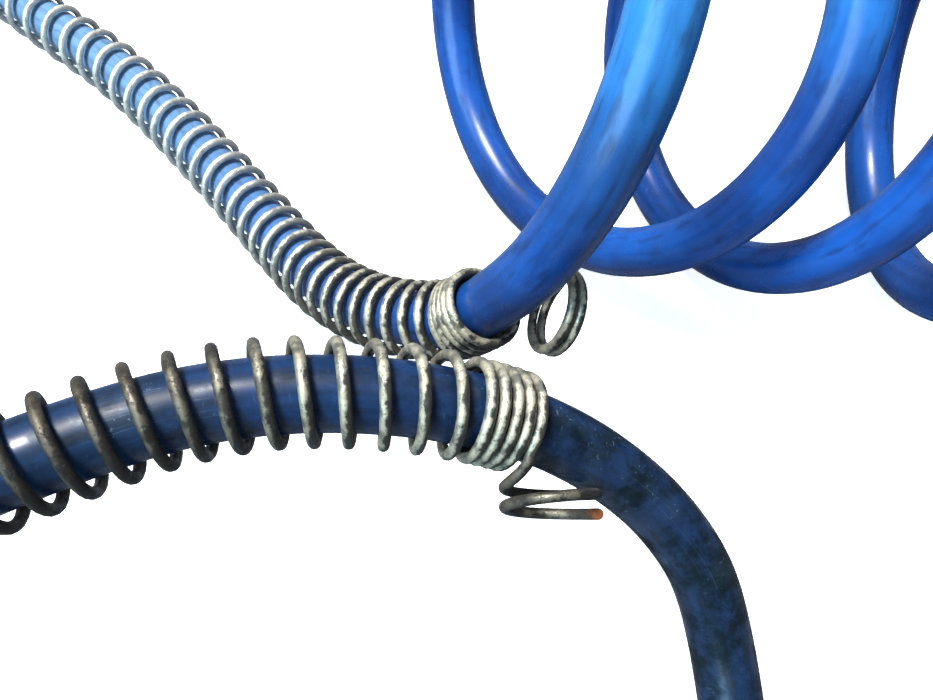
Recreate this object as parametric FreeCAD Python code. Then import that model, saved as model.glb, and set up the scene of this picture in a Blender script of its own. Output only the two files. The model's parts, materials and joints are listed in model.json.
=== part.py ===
import FreeCAD, Part
import math
import os

from FreeCAD import Vector

# Coiled air line for a lorry or trailer: one nylon hose, wound into a springy
# coil with a straight lead at each end, two steel spring guards that keep the
# leads from kinking, and two brass compression fittings, one rigid and one
# that swivels.  Millimetres.  +Z is up and z = 0 is the bench that the hose
# lies on.  The origin is on the bench, in the middle of the hose's outline.
# +X runs along the coil, from the leads towards its far end.

# ---- hose -----------------------------------------------------------------
HOSE_OD = 12.7
HOSE_ID = 9.6
HOSE_R = HOSE_OD / 2.0
ARC_SHARE = 0.45             # of the shorter run that an arc takes up

# ---- coil -----------------------------------------------------------------
COIL_OPEN = (15.0, 39.0, 58.0)   # x, y of the axis and outer radius at the lead A end
COIL_OPEN_LEAN = math.radians(20.0)   # the open turns lean over, away from lead A
COIL_OPEN_YAW = math.radians(20.0)
COIL_TIGHT = (307.5, 15.0, 53.5)      # the same at the lead B end
COIL_TIGHT_LEAN = math.radians(6.0)
COIL_TIGHT_YAW = 0.0

# ---- hand-laid routes, from each fitting to inside the coil ---------------
ROUTE_A = [
    (-203.9, 160.0, 12.7), (-166.1, 130.4, 12.7), (-150.5, 117.8, 11.2), (-134.0, 104.6, 9.8),
    (-117.0, 91.5, 9.3), (-97.0, 71.5, 9.2), (-79.7, 52.0, 9.2), (-62.4, 31.5, 9.6),
    (-48.0, 12.5, 12.0), (-35.0, -4.0, 18.0), (-23.5, -14.5, 24.0), (-11.0, -22.5, 31.0),
    (16.0, -31.0, 61.0), (35.0, -8.0, 107.0), (32.0, 40.0, 126.0),
    (15.0, 84.0, 108.0), (-2.0, 98.0, 66.0), (-3.0, 79.0, 30.0),
]
ROUTE_B = [
    (-268.0, -154.0, 12.7), (-210.0, -140.0, 12.7), (-170.0, -124.0, 33.0),
    (-136.0, -109.0, 56.0), (-100.0, -90.0, 69.5), (-75.0, -77.5, 72.5), (-55.5, -67.3, 71.0),
    (-42.0, -61.8, 69.3), (-26.5, -58.8, 67.3), (-10.0, -58.0, 64.0), (5.5, -58.2, 57.5),
    (17.5, -59.5, 49.5), (28.5, -62.6, 41.0), (38.5, -68.0, 32.5), (46.5, -76.5, 25.0),
    (51.0, -88.0, 15.5), (53.5, -106.0, 7.0), (55.5, -128.0, 6.35),
    (66.0, -152.0, 6.35), (98.0, -177.0, 6.35), (150.0, -178.5, 6.35), (214.0, -166.0, 6.35),
    (276.0, -127.0, 6.35), (299.0, -80.0, 6.35), (300.5, -40.0, 6.35), (301.0, 15.0, 6.35),
]
LEAD_A_LENGTH = 392.0        # along the route, from the fitting to the coil's solid
LEAD_B_LENGTH = 776.0

# ---- spring guards --------------------------------------------------------
WIRE = 2.0
SPRING_OD = 18.4
SPRING_ID = SPRING_OD - 2.0 * WIRE
SPRING_GRIP = 24.0           # from the hose's end back to the spring's first turn
SPRING_A_LENGTH = 267.5
SPRING_B_LENGTH = 288.0
EYE_OD = 17.6
EYE_HEIGHT = 2.0 * WIRE      # two turns of wire
EYE_A = ((18.8, -29.4, 45.0), (-0.86, 0.02, 0.51))    # middle and axis
EYE_B = ((14.2, -71.9, 51.0), (0.02, 0.94, 0.27))

# ---- compression fittings, measured from the hose's end ------------------
INSERT_OD = HOSE_ID - 0.1
INSERT_ID = 8.0
INSERT_LENGTH = 20.0
FLANGE = 1.2
SOCKET_D = HOSE_OD + 0.1
FERRULE_OD = 15.6
FERRULE_BACK = -15.0
FERRULE_LENGTH = 6.5
BODY_BACK = -8.0
BODY_THREAD_OD = 18.4
BODY_HEX = 22.2              # across flats
BODY_HEX_LENGTH = 9.0
NUT_BACK = -31.0
NUT_FRONT = 1.2
NUT_HEX = 25.4
NUT_TAIL_OD = 22.4
NUT_TAIL = 9.0               # round tail that grips the spring
RUNNING = 0.05               # radial clearance of threads and fits
PIPE_THREAD_OD = 21.34       # half-inch pipe thread
PIPE_THREAD_LENGTH = 17.0
FLOW_D = 9.0
CHAMFER = 1.0

# ---- swivel ----------------------------------------------------------------
STEM_OD = 14.0
STEM_LENGTH = 23.0
WASHER_OD = 20.0
WASHER_THICK = 0.8
ADAPTER_HEX = 25.4
ADAPTER_HEX_LENGTH = 15.0
GROOVE_DEPTH = 1.4
RING_CORD = 1.3              # section of the two O-rings
RING_PLACES = (17.5, 21.0)   # along the stem, from the body's shoulder
CLIP_PLACE = 6.0
CLIP_WIDTH = 1.2

PARTS = {}                   # each sub-part's solid, by the name of its node


def unit(v):
    """The vector v at length one."""
    return Vector(v).normalize()


def corner_arc(before, corner, after):
    """The tangent arc that rounds one corner of a route, and its radius."""
    back = unit(before - corner)
    ahead = unit(after - corner)
    turn = math.pi - back.getAngle(ahead)
    cut = ARC_SHARE * min((before - corner).Length, (after - corner).Length)
    radius = cut / math.tan(turn / 2.0)
    to_middle = unit(back + ahead)
    middle = corner + to_middle * (radius / math.cos(turn / 2.0) - radius)
    return corner + back * cut, middle, corner + ahead * cut, radius


def route_edges(points, name):
    """Straight runs joined by tangent arcs, as a list of edges."""
    route = [Vector(*p) for p in points]
    edges = []
    radii = []
    here = route[0]
    for before, corner, after in zip(route, route[1:], route[2:]):
        start, middle, end, radius = corner_arc(before, corner, after)
        edges.append(Part.LineSegment(here, start).toShape())
        edges.append(Part.Arc(start, middle, end).toShape())
        radii.append(radius)
        here = end
    edges.append(Part.LineSegment(here, route[-1]).toShape())
    print(name, "bend radii", [round(r) for r in radii], "mm")
    return edges


def stretch(edges, start, end):
    """The part of a path between two distances along it."""
    kept = []
    done = 0.0
    for edge in edges:
        low = max(start - done, 0.0)
        high = min(end - done, edge.Length)
        if high - low > 1e-6:
            first, middle, last = (
                edge.valueAt(edge.getParameterByLength(s)) for s in (low, (low + high) / 2.0, high)
            )
            if isinstance(edge.Curve, Part.Circle):
                kept.append(Part.Arc(first, middle, last).toShape())
            else:
                kept.append(Part.LineSegment(first, last).toShape())
        done += edge.Length
    return kept


def rod(edges, radius):
    """A round rod along a path."""
    path = Part.Wire(edges)
    start = edges[0].valueAt(edges[0].FirstParameter)
    along = edges[0].tangentAt(edges[0].FirstParameter)
    section = Part.Wire(Part.makeCircle(radius, start, along))
    return path.makePipeShell([section], True, False)


def tube(edges, outer, inner, name):
    """A round tube along a path, with its volume checked."""
    solid = rod(edges, outer).cut(rod(edges, inner))
    length = sum(edge.Length for edge in edges)
    wanted = math.pi * (outer ** 2 - inner ** 2) * length
    print(name, "length %.1f mm, volume / section x length %.4f" % (length, solid.Volume / wanted))
    return solid


def frame_at(origin, axis):
    """Placement with local Z along axis and local X as near up as it can be."""
    z = unit(Vector(*axis))
    up = Vector(0, 0, 1)
    x = unit(up - z * up.dot(z))
    y = z.cross(x)
    o = Vector(*origin)
    matrix = FreeCAD.Matrix(x.x, y.x, z.x, o.x, x.y, y.y, z.y, o.y, x.z, y.z, z.z, o.z, 0, 0, 0, 1)
    return FreeCAD.Placement(matrix)


def put(name, shape, place):
    """Move a shape from a fitting's own frame to its place and keep it."""
    shape.Placement = place
    PARTS[name] = shape


def round_bar(diameter, low, high):
    """A cylinder along Z between two heights."""
    return Part.makeCylinder(diameter / 2.0, high - low, Vector(0, 0, low))


def hex_bar(flats, low, high):
    """A hexagon bar with a flat facing local X, its corners turned off."""
    corner = flats / math.sqrt(3.0)
    ring = [
        Vector(corner * math.cos(math.radians(a)), corner * math.sin(math.radians(a)), low)
        for a in range(30, 391, 60)
    ]
    bar = Part.Face(Part.makePolygon(ring)).extrude(Vector(0, 0, high - low))
    rise = (corner - flats / 2.0) * 0.6
    profile = [
        Vector(0, 0, low),
        Vector(flats / 2.0 - 0.1, 0, low),
        Vector(corner + 0.2, 0, low + rise),
        Vector(corner + 0.2, 0, high - rise),
        Vector(flats / 2.0 - 0.1, 0, high),
        Vector(0, 0, high),
        Vector(0, 0, low),
    ]
    turned = Part.Face(Part.makePolygon(profile)).revolve(Vector(0, 0, 0), Vector(0, 0, 1), 360)
    return bar.common(turned)


def pipe_thread(low, high):
    """The male pipe thread, at its outer diameter, with both ends chamfered."""
    r = PIPE_THREAD_OD / 2.0
    profile = [
        Vector(0, 0, low),
        Vector(r - CHAMFER, 0, low),
        Vector(r, 0, low + CHAMFER),
        Vector(r, 0, high - CHAMFER),
        Vector(r - CHAMFER, 0, high),
        Vector(0, 0, high),
        Vector(0, 0, low),
    ]
    return Part.Face(Part.makePolygon(profile)).revolve(Vector(0, 0, 0), Vector(0, 0, 1), 360)


def make_insert():
    """Thin brass tube inside the hose's end, with a flange over the hose's face."""
    sleeve = round_bar(INSERT_OD, -INSERT_LENGTH, 0.0)
    sleeve = sleeve.fuse(round_bar(HOSE_OD, 0.0, FLANGE))
    return sleeve.cut(round_bar(INSERT_ID, -INSERT_LENGTH, FLANGE)).removeSplitter()


def make_ferrule():
    """Barrel-shaped compression sleeve round the hose."""
    r = FERRULE_OD / 2.0
    bore = SOCKET_D / 2.0
    edge = bore + 0.4
    low = FERRULE_BACK
    high = FERRULE_BACK + FERRULE_LENGTH
    arc = Part.Arc(Vector(edge, 0, low), Vector(r, 0, (low + high) / 2.0), Vector(edge, 0, high))
    sides = [
        arc.toShape(),
        Part.makeLine(Vector(edge, 0, high), Vector(bore, 0, high)),
        Part.makeLine(Vector(bore, 0, high), Vector(bore, 0, low)),
        Part.makeLine(Vector(bore, 0, low), Vector(edge, 0, low)),
    ]
    return Part.Face(Part.Wire(sides)).revolve(Vector(0, 0, 0), Vector(0, 0, 1), 360)


def body_back_end():
    """The end of the body that takes the hose: socket, outer thread and hexagon."""
    shoulder = NUT_FRONT + 1.0
    back = round_bar(BODY_THREAD_OD, BODY_BACK, shoulder)
    back = back.fuse(hex_bar(BODY_HEX, shoulder, shoulder + BODY_HEX_LENGTH))
    return back, shoulder + BODY_HEX_LENGTH


def body_bores(end):
    """The socket for the hose and its insert, and the way through to the far end."""
    return round_bar(SOCKET_D, BODY_BACK - 1.0, FLANGE + RUNNING).fuse(round_bar(FLOW_D, 0.0, end + 1.0))


def make_nut():
    """Compression nut: a hexagon with a round tail that holds the spring's last turns."""
    tail_end = NUT_BACK + NUT_TAIL
    nut = round_bar(NUT_TAIL_OD, NUT_BACK, tail_end).fuse(hex_bar(NUT_HEX, tail_end, NUT_FRONT))
    spring_seat = round_bar(SPRING_OD + 2.0 * RUNNING, NUT_BACK - 1.0, -SPRING_GRIP + RUNNING)
    neck = round_bar(SOCKET_D + 0.4, -SPRING_GRIP - 1.0, FERRULE_BACK)
    room = round_bar(BODY_THREAD_OD + 2.0 * RUNNING, FERRULE_BACK - 0.3, NUT_FRONT + 1.0)
    return nut.cut(spring_seat).cut(neck).cut(room).removeSplitter()


def clamp_end(prefix, place):
    """Insert, ferrule and nut, which are the same on both fittings."""
    put(prefix + "_insert", make_insert(), place)
    put(prefix + "_ferrule", make_ferrule(), place)
    put(prefix + "_nut", make_nut(), place)


def make_rigid_fitting(place):
    """Lead A's fitting: its pipe thread is part of its body."""
    back, end = body_back_end()
    thread_end = end + PIPE_THREAD_LENGTH
    body = back.fuse(pipe_thread(end, thread_end)).cut(body_bores(thread_end))
    put("rigid_body", body.removeSplitter(), place)
    clamp_end("rigid", place)
    return thread_end


def stem_grooves(shoulder):
    """Grooves for the two O-rings and the retaining ring, as one cutter."""
    bands = [(shoulder + p - RING_CORD / 2.0 - 0.2, RING_CORD + 0.4) for p in RING_PLACES]
    bands.append((shoulder + CLIP_PLACE - CLIP_WIDTH / 2.0 - RUNNING, CLIP_WIDTH + 2.0 * RUNNING))
    inner = STEM_OD - 2.0 * GROOVE_DEPTH
    cutters = [
        round_bar(STEM_OD + 2.0, low, low + width).cut(round_bar(inner, low, low + width))
        for low, width in bands
    ]
    return Part.makeCompound(cutters)


def make_swivel_fitting(place):
    """Lead B's fitting: the pipe thread is on an adapter that turns on the body's stem."""
    back, shoulder = body_back_end()
    stem_end = shoulder + STEM_LENGTH
    body = back.fuse(round_bar(STEM_OD, shoulder, stem_end)).cut(body_bores(stem_end))
    put("swivel_body", body.cut(stem_grooves(shoulder)).removeSplitter(), place)
    clamp_end("swivel", place)

    washer_back = shoulder + RUNNING
    washer = round_bar(WASHER_OD, washer_back, washer_back + WASHER_THICK)
    washer = washer.cut(round_bar(STEM_OD + 0.2, washer_back, washer_back + WASHER_THICK))
    put("swivel_washer", washer, place)

    adapter_back = shoulder + WASHER_THICK + 2.0 * RUNNING
    hex_end = adapter_back + ADAPTER_HEX_LENGTH
    thread_end = hex_end + PIPE_THREAD_LENGTH
    adapter = hex_bar(ADAPTER_HEX, adapter_back, hex_end).fuse(pipe_thread(hex_end, thread_end))
    adapter = adapter.cut(round_bar(STEM_OD + 2.0 * RUNNING, adapter_back - 1.0, stem_end + 0.5))
    adapter = adapter.cut(round_bar(FLOW_D, adapter_back, thread_end + 1.0))
    clip_low = shoulder + CLIP_PLACE - CLIP_WIDTH / 2.0
    clip_room = round_bar(STEM_OD + 2.6, clip_low - RUNNING, clip_low + CLIP_WIDTH + RUNNING)
    put("swivel_adapter", adapter.cut(clip_room).removeSplitter(), place)

    clip = round_bar(STEM_OD + 2.2, clip_low, clip_low + CLIP_WIDTH)
    clip = clip.cut(round_bar(STEM_OD - 2.0 * GROOVE_DEPTH + 0.2, clip_low, clip_low + CLIP_WIDTH))
    split = Part.makeBox(STEM_OD, 3.0, CLIP_WIDTH + 1.0, Vector(0, -1.5, clip_low - 0.5))
    put("swivel_retaining_ring", clip.cut(split), place)

    ring_r = STEM_OD / 2.0 - RING_CORD / 2.0
    rings = [
        Part.makeTorus(ring_r, RING_CORD / 2.0 - 0.02, Vector(0, 0, shoulder + p), Vector(0, 0, 1))
        for p in RING_PLACES
    ]
    put("swivel_o_rings", Part.makeCompound(rings), place)
    return shoulder, thread_end


def leaning_ring(place, lean, yaw):
    """The rim of a turn that stands on the bench and leans over."""
    x, y, radius = place
    normal = Vector(math.cos(lean) * math.cos(yaw), math.cos(lean) * math.sin(yaw), -math.sin(lean))
    return Part.Wire(Part.makeCircle(radius, Vector(x, y, radius * math.cos(lean)), normal))


def make_coil(lead_in, lead_out):
    """The wound hose's outer shape, fused with the hose's first and last stretch in it."""
    rings = [
        leaning_ring(COIL_OPEN, COIL_OPEN_LEAN, COIL_OPEN_YAW),
        leaning_ring(COIL_TIGHT, COIL_TIGHT_LEAN, COIL_TIGHT_YAW),
    ]
    drum = Part.makeLoft(rings, True, True)
    return drum.fuse(rod(lead_in, HOSE_R)).fuse(rod(lead_out, HOSE_R)).removeSplitter()


def make_eye(centre, axis, collar, along):
    """The wire's end eye, with the short piece of wire that joins it to the spring's collar."""
    half = EYE_HEIGHT / 2.0
    ring = round_bar(EYE_OD, -half, half).cut(round_bar(EYE_OD - 2.0 * WIRE, -half, half))
    ring.Placement = frame_at(centre, axis)
    middle = Vector(*centre)
    ring_axis = unit(Vector(*axis))
    towards = collar - middle
    foot = middle + unit(towards - ring_axis * towards.dot(ring_axis)) * (EYE_OD - WIRE) / 2.0
    away = foot - collar
    rim = collar + unit(away - along * away.dot(along)) * (SPRING_OD - WIRE) / 2.0
    link = Part.makeCylinder(WIRE / 2.0, (rim - foot).Length, foot, rim - foot)
    return ring.fuse(link)


def make_spring(edges, start, length, eye):
    """Spring guard as a plain sleeve of the wire's inner and outer diameter, with its end eye."""
    path = stretch(edges, start, start + length)
    sleeve = tube(path, SPRING_OD / 2.0, SPRING_ID / 2.0, "spring guard")
    last = stretch(edges, start, start + length - WIRE)[-1]
    collar = last.valueAt(last.LastParameter)
    along = last.tangentAt(last.LastParameter)
    return sleeve.fuse(make_eye(eye[0], eye[1], collar, along))


def main():
    os.makedirs("parts", exist_ok=True)
    route_a = route_edges(ROUTE_A, "route A")
    route_b = route_edges(ROUTE_B, "route B")
    whole_a = sum(edge.Length for edge in route_a)
    whole_b = sum(edge.Length for edge in route_b)
    lead_in = stretch(route_a, LEAD_A_LENGTH, whole_a)
    lead_out = stretch(route_b, LEAD_B_LENGTH, whole_b)
    PARTS["hose_lead_a"] = tube(stretch(route_a, 0.0, LEAD_A_LENGTH), HOSE_R, HOSE_ID / 2.0, "lead A")
    PARTS["hose_coil"] = make_coil(lead_in, lead_out)
    PARTS["hose_lead_b"] = tube(stretch(route_b, 0.0, LEAD_B_LENGTH), HOSE_R, HOSE_ID / 2.0, "lead B")
    PARTS["spring_guard_a"] = make_spring(route_a, SPRING_GRIP, SPRING_A_LENGTH, EYE_A)
    PARTS["spring_guard_b"] = make_spring(route_b, SPRING_GRIP, SPRING_B_LENGTH, EYE_B)
    print("route lengths", round(whole_a, 1), round(whole_b, 1))
    axis_a = Vector(*ROUTE_A[0]) - Vector(*ROUTE_A[1])
    axis_b = Vector(*ROUTE_B[0]) - Vector(*ROUTE_B[1])
    axis_a.z = 0.0
    axis_b.z = 0.0
    place_a = frame_at(ROUTE_A[0], axis_a)
    place_b = frame_at(ROUTE_B[0], axis_b)
    thread_a = make_rigid_fitting(place_a)
    shoulder, thread_b = make_swivel_fitting(place_b)
    half = PIPE_THREAD_LENGTH / 2.0
    for label, place, ends in (("A", place_a, [thread_a - half]), ("B", place_b, [shoulder, thread_b - half])):
        marks = [place.multVec(Vector(0, 0, z)) for z in ends]
        axis = place.Rotation.multVec(Vector(0, 0, 1))
        print("fitting", label, "axis", [round(c, 4) for c in axis], [[round(c, 2) for c in m] for m in marks])

    low = Vector(1e9, 1e9, 1e9)
    high = Vector(-1e9, -1e9, -1e9)
    for name, shape in PARTS.items():
        shape.exportStep("parts/%s.step" % name)
        box = shape.optimalBoundingBox()
        low = Vector(min(low.x, box.XMin), min(low.y, box.YMin), min(low.z, box.ZMin))
        high = Vector(max(high.x, box.XMax), max(high.y, box.YMax), max(high.z, box.ZMax))
        print("%-24s solids %d valid %s volume %.0f z %.2f" % (name, len(shape.Solids), shape.isValid(), shape.Volume, box.ZMin))
    print("box", [round(c, 2) for c in low], [round(c, 2) for c in high])


main()
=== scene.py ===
"""A coiled air hose lying on a pale bench: the hose, its spring guards and its fittings.

Everything is in metres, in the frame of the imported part: +Z is up, the bench is z = 0,
and +X runs along the coil from the two leads towards the coil's far end.
"""

import json
import logging
import math
from bisect import bisect_right
from dataclasses import dataclass, field
from enum import Enum

import bmesh
import bpy
from mathutils import Matrix, Vector
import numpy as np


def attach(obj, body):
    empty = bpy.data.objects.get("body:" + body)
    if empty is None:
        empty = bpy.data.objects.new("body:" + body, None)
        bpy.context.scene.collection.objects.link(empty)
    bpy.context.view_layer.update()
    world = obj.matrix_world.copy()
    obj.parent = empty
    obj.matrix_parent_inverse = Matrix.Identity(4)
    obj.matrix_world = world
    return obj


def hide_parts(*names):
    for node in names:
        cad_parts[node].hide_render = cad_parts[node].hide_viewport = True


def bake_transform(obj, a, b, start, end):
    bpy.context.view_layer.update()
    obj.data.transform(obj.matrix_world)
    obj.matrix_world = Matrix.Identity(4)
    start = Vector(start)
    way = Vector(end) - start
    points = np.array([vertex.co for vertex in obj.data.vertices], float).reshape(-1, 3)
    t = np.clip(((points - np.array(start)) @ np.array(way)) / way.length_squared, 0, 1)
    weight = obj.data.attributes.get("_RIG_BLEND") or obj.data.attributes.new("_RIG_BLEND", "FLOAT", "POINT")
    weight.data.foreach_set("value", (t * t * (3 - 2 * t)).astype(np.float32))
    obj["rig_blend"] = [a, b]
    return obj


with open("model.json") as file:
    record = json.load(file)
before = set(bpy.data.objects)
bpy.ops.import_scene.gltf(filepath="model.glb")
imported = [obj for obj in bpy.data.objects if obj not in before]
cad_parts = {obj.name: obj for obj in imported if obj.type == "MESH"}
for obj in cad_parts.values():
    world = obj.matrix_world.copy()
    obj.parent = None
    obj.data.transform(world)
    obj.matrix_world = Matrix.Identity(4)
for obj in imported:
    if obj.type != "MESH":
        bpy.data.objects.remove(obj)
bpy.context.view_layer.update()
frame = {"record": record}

LOG = logging.getLogger("air_hose")
MM = 0.001
UP = Vector((0.0, 0.0, 1.0))
TURN = 2.0 * math.pi
FIRST_TURN = 24.5 * MM               # from the hose's end to the first turn of a spring guard


class Winding(Enum):
    """The way a wire winds about its axis."""

    RIGHT = 1
    LEFT = -1


def mm(x: float, y: float, z: float) -> Vector:
    """A point or direction given in millimetres."""
    return Vector((x, y, z)) * MM


def between(low: float, high: float, share: float) -> float:
    """The value a share of the way from low to high."""
    return low + (high - low) * share


def read_off(rows: list | tuple, place: float) -> float:
    """A value read off a table, straight between its rows.

    Args:
        rows: places, rising, and the value at each.
        place: where to read.

    Returns:
        The value there, or the last row's past the end.
    """
    for (low, first), (high, second) in zip(rows, rows[1:]):
        if place <= high:
            return between(first, second, max(0.0, (place - low) / (high - low)))
    return rows[-1][1]


def through(knots: list[tuple[float, ...]], place: float) -> list[float]:
    """Values on the smooth line through evenly spaced knots.

    Args:
        knots: the values at places 0, 1, 2 and so on.
        place: where along them, from 0 to the last knot.

    Returns:
        One value for each column of the knots.
    """
    first = [2.0 * a - b for a, b in zip(knots[0], knots[1])]
    last = [2.0 * a - b for a, b in zip(knots[-1], knots[-2])]
    row = [first, *knots, last]
    start = min(int(place), len(knots) - 2)
    u = place - start
    values = []
    for a, b, c, d in zip(*row[start:start + 4]):
        curve = 2.0 * a - 5.0 * b + 4.0 * c - d + u * (3.0 * (b - c) + d - a)
        values.append(b + 0.5 * u * (c - a + u * curve))
    return values


# ---- meshes ---------------------------------------------------------------


def smooth_line(controls: list[Vector], per_span: int, order: int = 3) -> list[Vector]:
    """Read the points of the smooth line that a row of control points pulls into shape.

    Args:
        controls: the control points, in metres.
        per_span: how many points to read for each control point.
        order: 3 for a hose or a route, 4 for an evenly wound wire.

    Returns:
        The line's points from its first control point to its last.
    """
    curve = bpy.data.curves.new("route", "CURVE")
    curve.dimensions = "3D"
    curve.resolution_u = per_span
    spline = curve.splines.new("NURBS")
    spline.points.add(len(controls) - 1)
    for point, place in zip(spline.points, controls):
        point.co = (*place, 1.0)
    spline.order_u = order
    spline.use_endpoint_u = True
    holder = bpy.data.objects.new("route", curve)
    mesh = bpy.data.meshes.new_from_object(holder)
    line = [vertex.co.copy() for vertex in mesh.vertices]
    bpy.data.objects.remove(holder)
    bpy.data.curves.remove(curve)
    bpy.data.meshes.remove(mesh)
    return line


def distances(line: list[Vector]) -> list[float]:
    """How far along the line each of its points is."""
    along = [0.0]
    for a, b in zip(line, line[1:]):
        along.append(along[-1] + (b - a).length)
    return along


def tube_mesh(name: str, line: list[Vector], radius: float, resolution: int) -> bpy.types.Mesh:
    """A round tube along a line, with a map of length along it and share of the way round.

    Args:
        name: the mesh's name.
        line: the tube's centreline.
        radius: the tube's radius.
        resolution: the bevel resolution, where each ring has 2 * resolution + 4 points.

    Returns:
        A mesh whose points run ring by ring, with open ends.
    """
    curve = bpy.data.curves.new(name, "CURVE")
    curve.dimensions = "3D"
    curve.bevel_depth = radius
    curve.bevel_resolution = resolution
    spline = curve.splines.new("POLY")
    spline.points.add(len(line) - 1)
    for point, place in zip(spline.points, line):
        point.co = (*place, 1.0)
    holder = bpy.data.objects.new(name, curve)
    mesh = bpy.data.meshes.new_from_object(holder)
    bpy.data.objects.remove(holder)
    bpy.data.curves.remove(curve)
    mesh.name = name
    sides = len(mesh.vertices) // len(line)
    along = distances(line)
    for layer in list(mesh.uv_layers):
        mesh.uv_layers.remove(layer)
    layer = mesh.uv_layers.new(name="wrap")
    for face in mesh.polygons:
        turns = [(mesh.loops[i].vertex_index % sides) / sides for i in face.loop_indices]
        crosses = max(turns) - min(turns) > 0.5
        for i, turn in zip(face.loop_indices, turns):
            ring = mesh.loops[i].vertex_index // sides
            layer.data[i].uv = (along[ring], turn + 1.0 if crosses and turn < 0.5 else turn)
    mesh.materials.clear()
    mesh.shade_smooth()
    return mesh


def ring_values(mesh: bpy.types.Mesh, name: str, rings: list[float]) -> None:
    """Store one value for each ring of a tube as a point attribute.

    Args:
        mesh: a mesh from tube_mesh.
        name: the attribute's name.
        rings: the value of each ring.
    """
    attribute = mesh.attributes.new(name, "FLOAT", "POINT")
    sides = len(mesh.vertices) // len(rings)
    attribute.data.foreach_set("value", [value for value in rings for _ in range(sides)])


def rim_at(shape: bmesh.types.BMesh, end: Vector, reach: float) -> list:
    """The open edges of a tube's end that lie within reach of a point."""
    return [edge for edge in shape.edges if edge.is_boundary and (edge.verts[0].co - end).length < reach]


def extruded(shape: bmesh.types.BMesh, rim: list) -> tuple[list, list]:
    """Extrude a rim of edges.

    Args:
        shape: the mesh that the edges are in.
        rim: the edges.

    Returns:
        The new points and the new edges between them.
    """
    made = bmesh.ops.extrude_edge_only(shape, edges=rim)["geom"]
    points = [part for part in made if isinstance(part, bmesh.types.BMVert)]
    fresh = set(points)
    edges = [part for part in made if isinstance(part, bmesh.types.BMEdge) and fresh.issuperset(part.verts)]
    return points, edges


def shown(name: str, mesh: bpy.types.Mesh, finish: "Finish") -> bpy.types.Object:
    """Put a finished mesh in the scene with its material."""
    piece = bpy.data.objects.new(name, mesh)
    bpy.context.scene.collection.objects.link(piece)
    mesh.materials.append(finish.material())
    return piece


# ---- node graphs ----------------------------------------------------------


class Graph:
    """A node tree with short calls that add nodes and join them."""

    def __init__(self, tree: bpy.types.NodeTree) -> None:
        """Start with an empty tree."""
        self.tree = tree
        self.tree.nodes.clear()

    def add(self, kind: str, settings: dict | None = None, **inputs) -> bpy.types.Node:
        """Add a node.

        Args:
            kind: the node's type without the words ShaderNode.
            settings: the node's own properties.
            inputs: values or sockets for its inputs, spaces written as _, or iN for number N.

        Returns:
            The new node.
        """
        node = self.tree.nodes.new(kind if kind.startswith("Node") else "ShaderNode" + kind)
        for key, value in (settings or {}).items():
            setattr(node, key, value)
        for key, value in inputs.items():
            label = int(key[1:]) if key[1:].isdigit() else key.replace("_", " ")
            socket = node.inputs[label]
            if isinstance(value, bpy.types.NodeSocket):
                self.tree.links.new(value, socket)
            else:
                socket.default_value = value
        return node

    def maths(self, operation: str, *values) -> bpy.types.NodeSocket:
        """A Math node's answer for one, two or three values."""
        inputs = {f"i{n}": value for n, value in enumerate(values)}
        return self.add("Math", {"operation": operation}, **inputs).outputs[0]

    def remap(self, value, low, high, to_low: float = 0.0, to_high: float = 1.0) -> bpy.types.NodeSocket:
        """A value moved smoothly from one range to another, and held inside it."""
        inputs = {"i0": value, "i1": low, "i2": high, "i3": to_low, "i4": to_high}
        return self.add("MapRange", {"interpolation_type": "SMOOTHSTEP"}, **inputs).outputs[0]

    def mix(self, factor, first, second) -> bpy.types.NodeSocket:
        """A colour between two colours."""
        return self.add("Mix", {"data_type": "RGBA"}, i0=factor, i6=first, i7=second).outputs[2]

    def bump(self, height, strength: float, distance: float, normal=None) -> bpy.types.NodeSocket:
        """A normal bent by a height."""
        inputs = {"Height": height, "Strength": strength, "Distance": distance}
        if normal is not None:
            inputs["Normal"] = normal
        return self.add("Bump", None, **inputs).outputs[0]


def new_group(name: str, values: dict[str, float]) -> tuple[Graph, bpy.types.Node, bpy.types.Node]:
    """Start a node group that puts out one mask.

    Args:
        name: the group's name.
        values: the names of its number inputs and their usual values.

    Returns:
        The group's graph, its input node and its output node.
    """
    tree = bpy.data.node_groups.new(name, "ShaderNodeTree")
    for label, usual in values.items():
        socket = tree.interface.new_socket(name=label, in_out="INPUT", socket_type="NodeSocketFloat")
        socket.default_value = usual
    tree.interface.new_socket(name="Mask", in_out="OUTPUT", socket_type="NodeSocketFloat")
    graph = Graph(tree)
    return graph, graph.add("NodeGroupInput"), graph.add("NodeGroupOutput")


def blotches() -> bpy.types.NodeTree:
    """The group for soft patches of colour or dirt that fill space."""
    name = "Blotches"
    if name in bpy.data.node_groups:
        return bpy.data.node_groups[name]
    usual = {"Scale": 40.0, "Detail": 4.0, "Roughness": 0.6, "Low": 0.45, "High": 0.6}
    graph, given, result = new_group(name, usual)
    place = graph.add("TexCoord").outputs["Object"]
    noise = graph.add(
        "TexNoise",
        Vector=place,
        Scale=given.outputs["Scale"],
        Detail=given.outputs["Detail"],
        Roughness=given.outputs["Roughness"],
    ).outputs[0]
    mask = graph.remap(noise, given.outputs["Low"], given.outputs["High"])
    graph.tree.links.new(mask, result.inputs["Mask"])
    return graph.tree


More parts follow.
